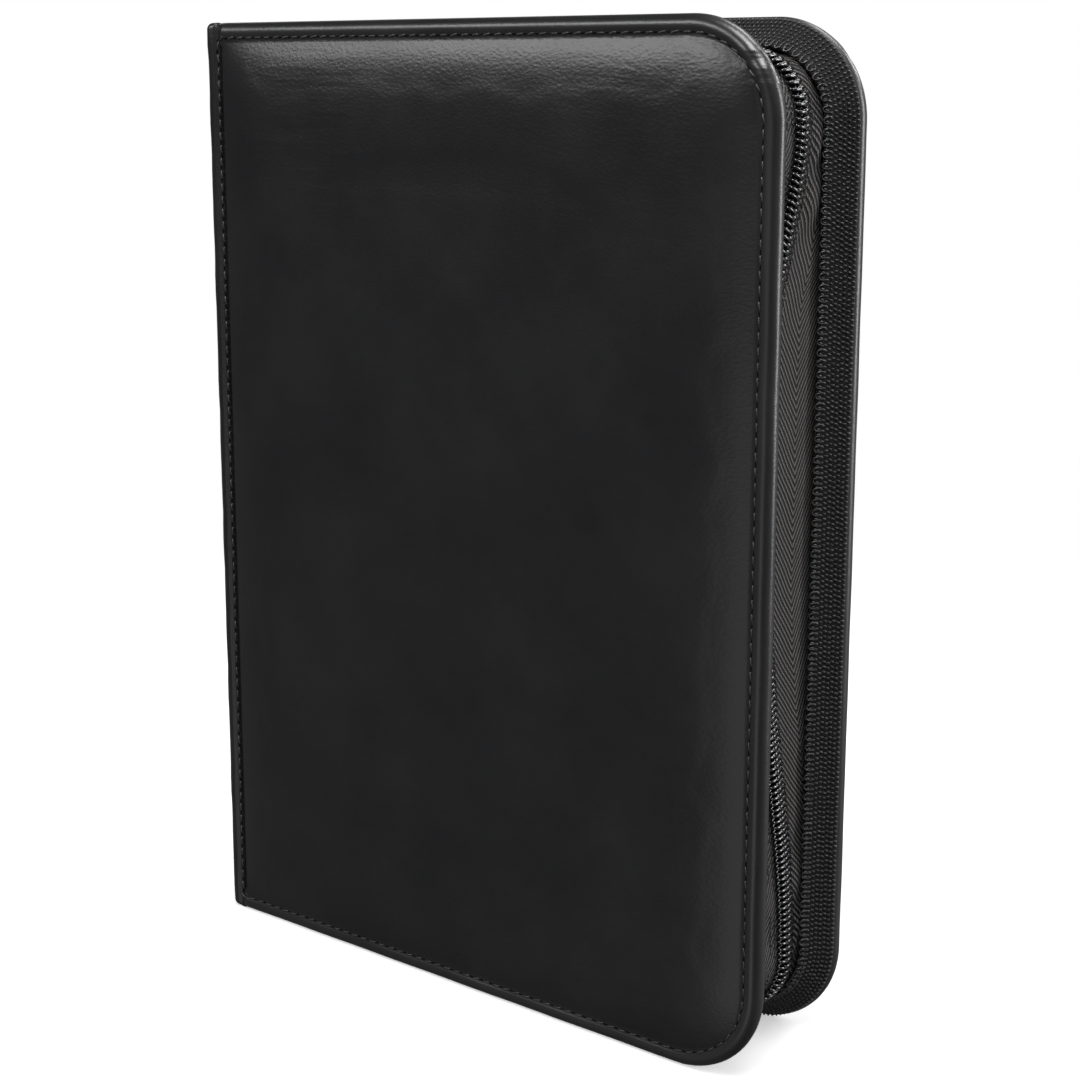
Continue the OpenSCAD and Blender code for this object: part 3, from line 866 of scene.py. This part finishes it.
# node tree that sets a small shape at even steps along a line
def buildRepeatTree():
    tree = bpy.data.node_groups.new("repeatAlongLine", "GeometryNodeTree")
    sockets = (("Geometry", "Geometry"), ("Spacing", "Float"), ("Shape", "Object"), ("Turn Spread", "Float"),
               ("Size Spread", "Float"), ("Seed", "Int"), ("Finish", "Material"))
    for label, kind in sockets:
        tree.interface.new_socket(label, in_out="INPUT", socket_type="NodeSocket" + kind)
    tree.interface.new_socket("Geometry", in_out="OUTPUT", socket_type="NodeSocketGeometry")
    given = addNode(tree, "NodeGroupInput").outputs
    line = addNode(tree, "GeometryNodeMeshToCurve", {"Mesh": given["Geometry"]})
    even = addNode(tree, "GeometryNodeResampleCurve", {
        "Curve": line.outputs["Curve"], "Length": given["Spacing"]}, mode="LENGTH")
    tangent = addNode(tree, "GeometryNodeInputTangent")
    outward = addNode(tree, "GeometryNodeInputNamedAttribute", {"Name": "outward"}, data_type="FLOAT_VECTOR")
    axes = addNode(tree, "FunctionNodeAxesToRotation", {
        "Primary Axis": outward.outputs["Attribute"], "Secondary Axis": tangent.outputs["Tangent"]},
        primary_axis="Z", secondary_axis="X")
    turnSpread, sizeSpread = given["Turn Spread"], given["Size Spread"]
    twist = spreadNode(tree, mathNode(tree, "MULTIPLY", turnSpread, -1.0), turnSpread, given["Seed"])
    spin = addNode(tree, "ShaderNodeCombineXYZ", {"Z": twist})
    euler = addNode(tree, "FunctionNodeEulerToRotation", {"Euler": spin.outputs["Vector"]})
    turned = addNode(tree, "FunctionNodeRotateRotation", {
        "Rotation": axes.outputs["Rotation"], "Rotate By": euler.outputs["Rotation"]}, rotation_space="LOCAL")
    small, large = (mathNode(tree, change, 1.0, sizeSpread) for change in ("SUBTRACT", "ADD"))
    size = spreadNode(tree, small, large, given["Seed"])
    shape = addNode(tree, "GeometryNodeObjectInfo", {"Object": given["Shape"]})
    placed = addNode(tree, "GeometryNodeInstanceOnPoints", {
        "Points": even.outputs["Curve"], "Instance": shape.outputs["Geometry"],
        "Rotation": turned.outputs["Rotation"], "Scale": size})
    real = addNode(tree, "GeometryNodeRealizeInstances", {"Geometry": placed.outputs["Instances"]})
    finish = addNode(tree, "GeometryNodeSetMaterial", {
        "Geometry": real.outputs["Geometry"], "Material": given["Finish"]})
    addNode(tree, "NodeGroupOutput", {"Geometry": finish.outputs["Geometry"]})
    return tree


repeatTree = buildRepeatTree()


# lines is a list of (points, outward directions); every line gets the shape at the spacing.
# A spread in the dictionaries below is the turn in radians, the share of the size and the seed.
def repeatAlong(name, lines, shape, spacing, finish, turnSpread=0.0, sizeSpread=0.0, seed=1, closed=False):
    points, edges, ways = [], [], []
    for linePoints, lineWays in lines:
        start = len(points)
        points += [tuple(c * mm for c in p) for p in linePoints]
        ways += [tuple(w) for w in lineWays]
        edges += [(start + i, start + i + 1) for i in range(len(linePoints) - 1)]
        if closed:
            edges.append((len(points) - 1, start))
    mesh = bpy.data.meshes.new(name + "Line")
    mesh.from_pydata(points, edges, [])
    outward = mesh.attributes.new("outward", "FLOAT_VECTOR", "POINT")
    outward.data.foreach_set("vector", [c for w in ways for c in w])
    guide = bpy.data.objects.new(name + "Line", mesh)
    scene.collection.objects.link(guide)
    modifier = guide.modifiers.new("repeat", "NODES")
    modifier.node_group = repeatTree
    values = {"Spacing": spacing * mm, "Shape": shape, "Turn Spread": turnSpread, "Size Spread": sizeSpread,
              "Seed": seed, "Finish": finish}
    for item in repeatTree.interface.items_tree:
        if item.in_out == "INPUT" and item.name in values:
            modifier[item.identifier] = values[item.name]
    graph = bpy.context.evaluated_depsgraph_get()
    source = guide.evaluated_get(graph)
    result = bpy.data.meshes.new_from_object(source, preserve_all_data_layers=True, depsgraph=graph)
    bpy.data.objects.remove(guide)
    result.name = name
    if not result.materials:
        result.materials.append(finish)
    result.polygons.foreach_set("use_smooth", [True] * len(result.polygons))
    obj = bpy.data.objects.new(name, result)
    scene.collection.objects.link(obj)
    return obj


# a bent round rod of few faces, used as a shape to repeat; widths are the radii along its path
def rodShape(name, path, widths, sides=6):
    points = []
    path = [Vector(p) for p in path]
    for i, p in enumerate(path):
        ahead = (path[min(i + 1, len(path) - 1)] - path[max(i - 1, 0)]).normalized()
        helper = Vector((1, 0, 0)) if abs(ahead.x) < 0.8 else Vector((0, 0, 1))
        a = ahead.cross(helper).normalized()
        b = ahead.cross(a).normalized()
        for k in range(sides):
            w = 2 * math.pi * k / sides
            points.append(tuple(p + a * (widths[i] * math.cos(w)) + b * (widths[i] * math.sin(w))))
    faces = gridFaces(len(path), sides, closeColumns=True)
    faces.append(tuple(range(sides - 1, -1, -1)))
    faces.append(tuple((len(path) - 1) * sides + k for k in range(sides)))
    obj = makeObject(name, points, faces)
    outwardFaces(obj)
    return obj


# starts a line a little later, so that what repeats along it sits between its neighbours
def startLater(points, distance):
    first, second = Vector(points[0]), Vector(points[1])
    points[0] = tuple(first + (second - first).normalized() * distance)


# stitches: a short slanted thread over the leather, with a near-black disc at each end, painted shade
# standing in for the shadow in the needle holes;
# the course is in shares of half the length and of the slant, and millimetres of height
stitchLook = {
    "pitch": 3.4,
    "length": 2.3,
    "slant": 0.22,
    "course": [(-1, -0.9, -0.22), (-0.8, -0.7, 0.02), (-0.3, -0.2, 0.13),
               (0.3, 0.2, 0.13), (0.8, 0.7, 0.02), (1, 0.9, -0.22)],
    "widths": [0.16, 0.21, 0.24, 0.24, 0.21, 0.16],
    "holeSize": (0.62, 0.42),
    "holeHeights": (0.035, 0.06),
    "holeSides": 12,
    "lift": 0.03,
    "spineShift": 0.55,
    "threadSpread": (0.12, 0.06, 4),
    "holeSpread": (0.1, 0.12, 9),
}


def stitchLine(side):
    rise = case["innerFace"] + case["valley"] + stitchLook["lift"]
    points = []
    for x, z in stitchPath:
        shift = stitchLook["spineShift"] if x <= case["coverX"] + 0.01 else 0.0
        points.append((x - shift, side * rise, z))
    return points, [(0, side, 0)] * len(points)


def stitchPieces():
    look = stitchLook
    half = look["length"] / 2
    course = [(half * along, look["slant"] * across, lift) for along, across, lift in look["course"]]
    thread = rodShape("threadShape", course, look["widths"])
    n = look["holeSides"]
    middle = look["pitch"] / 2
    (long, wide), (edge, crown) = look["holeSize"], look["holeHeights"]
    turns = [2 * math.pi * k / n for k in range(n)]
    rim = [(middle + long * math.cos(a), wide * math.sin(a), edge) for a in turns]
    # a flat dark disc over the leather: painted shade where the shadow of the needle holes falls
    holeShade = makeObject("holeShape", rim + [(middle, 0, crown)], [(k, (k + 1) % n, n) for k in range(n)])
    for word, side, body in halves:
        line = stitchLine(side)
        threads = repeatAlong(word + "Stitches", [line], thread, look["pitch"], finishes["thread"],
                              *look["threadSpread"], closed=True)
        holes = repeatAlong(word + "StitchHoles", [line], holeShade, look["pitch"], finishes["holeShade"],
                            *look["holeSpread"], closed=True)
        for piece in (threads, holes):
            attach(piece, body)
    for shape in (thread, holeShade):
        bpy.data.objects.remove(shape)


stitchPieces()
print("stitches made")

# zip tapes: two cloth strips in the recess, one sewn to each cover, puckered most at the corners
tapeLook = {
    "pucker": 0.5,
    "puckerCap": 0.4,
    "bulge": 1.1,
    "corners": ((226, 1.0), (24, 0.7)),
    "cornerReach": 26,
    "columns": 18,
    "seamGap": 0.05,
}
tapeStations = edgeStations(zipper["tailX"], 1.6)


def tapePucker(index, station, share):
    look = tapeLook
    x, z, dx, dz = station
    calm = math.sin(math.pi * min(1.0, max(0.0, share))) ** 1.3
    reach = look["cornerReach"]
    atCorner = sum(part * math.exp(-((z - place) / reach) ** 2) for place, part in look["corners"])
    atCorner *= ease((x - 40) / 30)
    folds = math.sin(index * 0.62 + share * 5.0) + 0.6 * math.sin(index * 0.29 - share * 3.1 + 1.0)
    free = ease((share - 0.3) / 0.2) * ease((0.85 - share) / 0.2)
    bulge = look["bulge"] * free * atCorner * (0.8 + 0.2 * math.sin(index * 0.8))
    return min(look["puckerCap"], look["pucker"] * calm * (0.25 + atCorner) * folds) + bulge


# gives the tape with the widest place, the length and the area of its flat cut, in metres;
# its UV map is the length along it and the distance from the chain
def tapePiece(name, side):
    columns = tapeLook["columns"]
    outer, inner, uvs, widths = [], [], [], []
    along, cut = 0.0, 0.0
    before = None
    for i, station in enumerate(tapeStations):
        middle = chainAt(station)
        near = middle + side * zipper["tapeGap"]
        far = side * (case["innerFace"] - tapeLook["seamGap"])
        widths.append(abs(far - near))
        point = stationPoint(station, -zipper["inset"], 0.0)
        if before is not None:
            step = math.dist(point, before)
            along += step
            cut += step * (widths[-2] + widths[-1]) / 2
        before = point
        for j in range(columns):
            share = j / (columns - 1)
            y = near + (far - near) * share
            out = tapePucker(i, station, share) - zipper["inset"]
            outer.append(stationPoint(station, out, y))
            inner.append(stationPoint(station, out - zipper["tapeThick"], y))
            uvs.append((along * mm, (y - middle) * side * mm))
    obj = makeObject(name, outer + inner, sheetFaces(len(tapeStations), columns), finishes["tape"])
    outwardFaces(obj)
    layer = obj.data.uv_layers.new(name="UVMap")
    for loop in obj.data.loops:
        layer.data[loop.index].uv = uvs[loop.vertex_index % len(uvs)]
    return obj, max(widths) * mm, along * mm, cut * mm * mm


for word, side, body in halves:
    tape, width, length, area = tapePiece(word + "Tape", side)
    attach(tape, body)
    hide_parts(word + "_zip_tape")
    print("tape", tape.name, round(width * 1000, 1), "by", round(length * 1000), "mm, area", round(area, 5))

# the chain: loops of nylon rod, the two halves half a pitch apart
coilLook = {
    "path": [(-0.30, -2.95, 0.62), (-0.26, -2.62, 1.22), (-0.12, -1.6, 1.5),
             (0.08, -0.4, 1.58), (0.18, 0.35, 1.5), (0.26, 0.68, 1.05),
             (0.34, 0.4, 0.5), (0.55, -0.9, 0.42), (0.95, -2.4, 0.42)],
    "widths": [0.36, 0.38, 0.4, 0.42, 0.48, 0.5, 0.38, 0.34, 0.34, 0.34],
    "lift": 0.02,
    "spread": (0.02, 0.0, 3),
}
chainStations = edgeStations(zipper["chainX"], 1.0, 24)


# one loop of the coil, which ends where the next one starts
def coilShape(name, side):
    x, y, z = coilLook["path"][0]
    path = coilLook["path"] + [(x + zipper["pitch"], y, z)]
    return rodShape(name, [(x, y * -side, z) for x, y, z in path], coilLook["widths"])


def chainLine(side):
    lift = coilLook["lift"] - zipper["inset"]
    points = [stationPoint(station, lift, chainAt(station)) for station in chainStations]
    ways = [(dx, 0, dz) for x, z, dx, dz in chainStations]
    if side > 0:
        startLater(points, zipper["pitch"] / 2)
        if math.dist(points[0], points[1]) < 0.3:
            points.pop(1)
            ways.pop(1)
    return points, ways


for word, side, body in halves:
    shape = coilShape(word + "CoilShape", side)
    coil = repeatAlong(word + "Coil", [chainLine(side)], shape, zipper["pitch"], finishes["coil"],
                       *coilLook["spread"])
    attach(coil, body)
    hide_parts(word + "_zip_coil")
    bpy.data.objects.remove(shape)

# two rows of thread that hold each half of the chain to its tape
coilThread = {
    "places": (3.6, 5.4),
    "pitch": 1.2,
    "path": [(-0.4, 0, -0.12), (-0.24, 0, 0.06), (0.24, 0, 0.06), (0.4, 0, -0.12)],
    "widths": [0.15] * 4,
    "spread": (0.08, 0.08, 5),
}
for word, side, body in halves:
    shape = rodShape(word + "ThreadShape", coilThread["path"], coilThread["widths"], 5)
    points, ways = chainLine(-1)
    lines = [([(x, y + side * place, z) for x, y, z in points], ways) for place in coilThread["places"]]
    threads = repeatAlong(word + "CoilThreads", lines, shape, coilThread["pitch"], finishes["webYarn"],
                          *coilThread["spread"])
    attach(threads, body)
    bpy.data.objects.remove(shape)
print("chain made")

# webbing: a leaning woven band on the back cover, with rows of raised yarn and a looped selvedge;
# its section goes round the back rim's roll by angles, then leans in through the places
webLook = {
    "thick": 1.0,
    "edgeThick": 0.1,
    "columns": 14,
    "rollAngles": (36, 48, 60),
    "leanPlaces": ((-2.4, 14.4), (-3.8, 13.3), (-5.2, 12.0), (-6.6, 10.6)),
    "rows": 8,
    "pitch": 1.27,
    "yarnPath": [(-0.06, -0.34, -0.12), (-0.03, -0.15, 0.16), (0.03, 0.15, 0.16), (0.06, 0.34, -0.12)],
    "yarnWidths": [0.13, 0.24, 0.24, 0.13],
    "loopPitch": 2.54,
    "loopPath": [(-0.72, 1.75, 0.02), (-0.74, 0.8, 0.14), (-0.62, 0.05, 0.2), (-0.3, -0.42, 0.22),
                 (0.3, -0.42, 0.22), (0.62, 0.05, 0.2), (0.74, 0.8, 0.14), (0.72, 1.75, 0.02)],
    "loopWidths": [0.15, 0.18, 0.19, 0.2, 0.2, 0.19, 0.18, 0.15],
    "yarnSpread": (0.16, 0.12, 6),
    "loopSpread": (0.1, 0.08, 11),
    "clear": 0.15,
    "floor": 0.5,
}
webStations = edgeStations(zipper["tailX"], 1.5)


def webPath():
    r = case["rim"] + webLook["clear"]
    middle = case["innerFace"] + case["rim"]
    path = []
    for angle in webLook["rollAngles"]:
        a = math.radians(angle)
        path.append(Vector((-case["rim"] + r * math.cos(a), middle - r * math.sin(a))))
    return path + [Vector(p) for p in webLook["leanPlaces"]]


# place and outward direction at a share of the way across the band
def webProfile(share):
    path = webPath()
    lengths = [(b - a).length for a, b in zip(path, path[1:])]
    left = share * sum(lengths)
    k = 0
    while k < len(lengths) - 1 and left > lengths[k]:
        left -= lengths[k]
        k += 1
    place = path[k].lerp(path[k + 1], min(1.0, left / lengths[k]))
    slope = (path[min(k + 2, len(path) - 1)] - path[max(k - 1, 0)]).normalized()
    return place.x, place.y, Vector((-slope.y, slope.x))


def webThickness(share):
    thin = webLook["edgeThick"]
    return thin + (webLook["thick"] - thin) * ease((share - 0.15) / 0.3)


def offFloor(point):
    return (point[0], point[1], max(point[2], webLook["floor"]))


def webBand():
    columns = webLook["columns"]
    outer, inner = [], []
    for station in webStations:
        for j in range(columns):
            share = j / (columns - 1)
            out, y, normal = webProfile(share)
            thick = webThickness(share)
            outer.append(offFloor(stationPoint(station, out, y)))
            inner.append(offFloor(stationPoint(station, out - normal.x * thick, y - normal.y * thick)))
    band = makeObject("webbingBand", outer + inner, sheetFaces(len(webStations), columns), finishes["web"])
    outwardFaces(band)
    return band


def webLine(share):
    out, y, normal = webProfile(share)
    points = [stationPoint(station, out, y) for station in webStations]
    return points, [(dx * normal.x, normal.y, dz * normal.x) for x, z, dx, dz in webStations]


def webYarns():
    look = webLook
    lines = []
    for row in range(look["rows"]):
        points, ways = webLine((row + 0.5) / look["rows"])
        points = [offFloor(p) for p in points]
        if row % 2:
            startLater(points, look["pitch"] / 2)
        lines.append((points, ways))
    yarn = rodShape("yarnShape", look["yarnPath"], look["yarnWidths"], 5)
    loop = rodShape("loopShape", look["loopPath"], look["loopWidths"])
    finish = finishes["webYarn"]
    yarns = repeatAlong("webbingYarns", lines, yarn, look["pitch"], finish, *look["yarnSpread"])
    loops = repeatAlong("webbingLoops", [webLine(1.0)], loop, look["loopPitch"], finish, *look["loopSpread"])
    for shape in (yarn, loop):
        bpy.data.objects.remove(shape)
    return yarns, loops


webbingBand = webBand()
for piece in (webbingBand, *webYarns()):
    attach(piece, "back_cover")
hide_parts("back_webbing")
print("webbing made")

# pocket leaves: a sheet with two by two film pockets on each face, welded along its seams
leafLook = {
    "foldX": -77.05,
    "foldRound": 0.25,
    "foldSides": 8,
    "width": 149.95,
    "low": 25.0,
    "height": 200.0,
    "pitch": 1.3,
    "count": 20,
    "margin": 8.0,
    "weld": 2.5,
    "weldSlope": 3.0,
    "sheet": 0.1,
    "film": 0.25,
    "columns": 18,
    "rows": 22,
}
pocketWide = (leafLook["width"] - leafLook["margin"] - 3 * leafLook["weld"]) / 2
pocketHigh = (leafLook["height"] - 3 * leafLook["weld"]) / 2
pocketLefts = [leafLook["margin"] + leafLook["weld"] + i * (pocketWide + leafLook["weld"]) for i in (0, 1)]
pocketLows = [leafLook["weld"] + i * (pocketHigh + leafLook["weld"]) for i in (0, 1)]


# how much of a pocket's film stands up at a place on the leaf, from 0 on a weld to 1
def pocketShare(u, v):
    best = 0.0
    for left in pocketLefts:
        for low in pocketLows:
            edge = min(u - left, left + pocketWide - u, v - low, low + pocketHigh - v)
            best = max(best, ease(edge / leafLook["weldSlope"]))
    return best


# even places along a length, with more of them on the slopes beside the welds
def spread(length, starts, size, count):
    marks = [length * i / count for i in range(count + 1)]
    for start in starts:
        for step in (0.0, 1.0, 2.0, 3.0):
            marks += [start + step, start + size - step]
    places = sorted(set(round(m, 3) for m in marks))
    kept = [places[0]]
    for p in places[1:]:
        if p - kept[-1] > 0.35:
            kept.append(p)
    kept[-1] = length
    return kept


leafUs = spread(leafLook["width"], pocketLefts, pocketWide, leafLook["columns"])
leafVs = spread(leafLook["height"], pocketLows, pocketHigh, leafLook["rows"])


def leafPiece(k):
    look = leafLook
    foldX, low, n = look["foldX"], look["low"], look["foldSides"]
    y = (k - (look["count"] - 1) / 2) * look["pitch"]
    shares = [pocketShare(u, v) for v in leafVs for u in leafUs]
    places = [(foldX + u, low + v) for v in leafVs for u in leafUs]
    points = []
    for side in (-1, 1):
        for (x, z), share in zip(places, shares):
            points.append((x, y + side * (look["sheet"] + (look["film"] - look["sheet"]) * share), z))
    faces = sheetFaces(len(leafVs), len(leafUs))
    start = len(points)
    turns = [2 * math.pi * i / n for i in range(n)]
    r = look["foldRound"]
    for z in (low, low + look["height"]):
        points += [(foldX + r * math.cos(a), y + r * math.sin(a), z) for a in turns]
    for i in range(n):
        after = (i + 1) % n
        faces.append((start + i, start + after, start + n + after, start + n + i))
    faces.append(tuple(start + i for i in range(n - 1, -1, -1)))
    faces.append(tuple(start + n + i for i in range(n)))
    obj = makeObject("pocketLeaf%02d" % (k + 1), points, faces, finishes["page"])
    outwardFaces(obj)
    weld = obj.data.attributes.new("weld", "FLOAT", "POINT")
    weld.data.foreach_set("value", [1 - share for share in shares * 2] + [1.0] * (2 * n))
    return obj


for k in range(leafLook["count"]):
    leaf = leafPiece(k)
    node = "leaf_%02d" % (k + 1)
    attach(leaf, node)
    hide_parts(node)
print("leaves made")

# slider, pull and stops: the solids with their edges eased; lengths in metres
metalLook = {"merge": 0.00001, "bevel": 0.00014, "segments": 2, "sharpest": 35}


def easedCopy(name, node, body):
    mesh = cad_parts[node].data.copy()
    obj = bpy.data.objects.new(name, mesh)
    scene.collection.objects.link(obj)
    work = bmesh.new()
    work.from_mesh(mesh)
    bmesh.ops.remove_doubles(work, verts=work.verts, dist=metalLook["merge"])
    bmesh.ops.dissolve_limit(work, angle_limit=math.radians(2), verts=work.verts, edges=work.edges)
    work.to_mesh(mesh)
    work.free()
    mesh.materials.clear()
    mesh.materials.append(finishes["metal"])
    modifier = obj.modifiers.new("ease", "BEVEL")
    modifier.width = metalLook["bevel"]
    modifier.segments = metalLook["segments"]
    modifier.limit_method = "ANGLE"
    modifier.angle_limit = math.radians(metalLook["sharpest"])
    graph = bpy.context.evaluated_depsgraph_get()
    eased = bpy.data.meshes.new_from_object(obj.evaluated_get(graph), depsgraph=graph)
    obj.modifiers.clear()
    obj.data = eased
    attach(obj, body)
    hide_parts(node)


easedCopy("zipSlider", "slider_body", "zip_slider")
easedCopy("zipPull", "pull_tab", "zip_pull")
easedCopy("frontStops", "front_zip_stops", "front_cover")
easedCopy("backStops", "back_zip_stops", "back_cover")

# finishes of the solids that stay as they are
innerFinishes = {
    "foam": ("front_foam", "back_foam", "spine_foam"),
    "board": ("front_board", "back_board", "spine_board"),
    "lining": ("front_lining", "back_lining"),
    "page": ("page_binding",),
}
for finish, nodes in innerFinishes.items():
    for node in nodes:
        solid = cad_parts[node]
        solid.data.materials.clear()
        solid.data.materials.append(finishes[finish])
print("metal and inner pieces finished")
